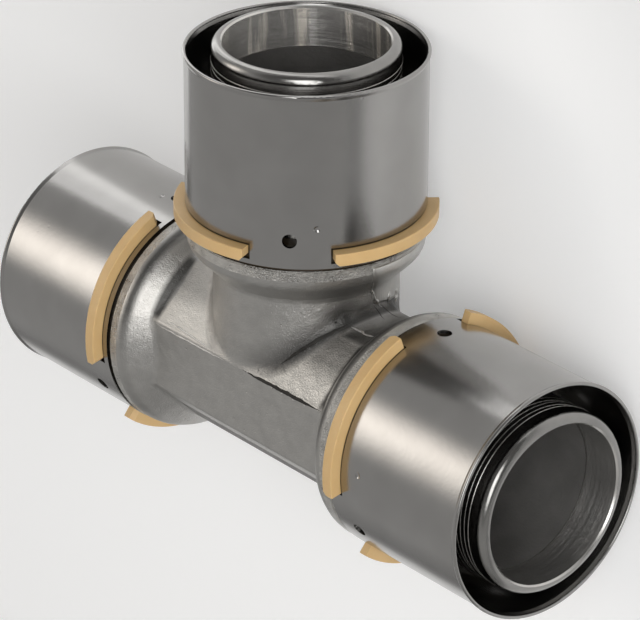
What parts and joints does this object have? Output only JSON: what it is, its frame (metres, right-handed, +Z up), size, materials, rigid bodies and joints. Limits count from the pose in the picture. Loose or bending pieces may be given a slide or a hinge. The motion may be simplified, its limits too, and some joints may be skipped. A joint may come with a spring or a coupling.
{
  "type": "press fit pipe tee",
  "caption": "Equal press tee for composite pipe: faceted cast body, barbed nipples with seal rings, thin press sleeves with flared mouths, and segmented stop rings.",
  "frame": {"origin": "middle of the part's footprint on the ground", "axes": "+X along the run towards port run_a, +Y along the branch, +Z up, with the tee lying on its side"},
  "size_m": [0.1978, 0.1342, 0.0715],
  "materials": {
    "body_metal": "tin plated, as cast",
    "sleeve_steel": "satin",
    "ring_plastic": "moulded, satin",
    "seal_rubber": "matt"
  },
  "bodies": {
    "root": {"tee_body": "body_metal", "sleeve_run_a": "sleeve_steel", "sleeve_run_b": "sleeve_steel", "sleeve_branch": "sleeve_steel", "stop_ring_run_a": "ring_plastic", "stop_ring_run_b": "ring_plastic", "stop_ring_branch": "ring_plastic", "seal_run_a_1": "seal_rubber", "seal_run_a_2": "seal_rubber", "seal_run_b_1": "seal_rubber", "seal_run_b_2": "seal_rubber", "seal_branch_1": "seal_rubber", "seal_branch_2": "seal_rubber"}
  },
  "joints": []
}
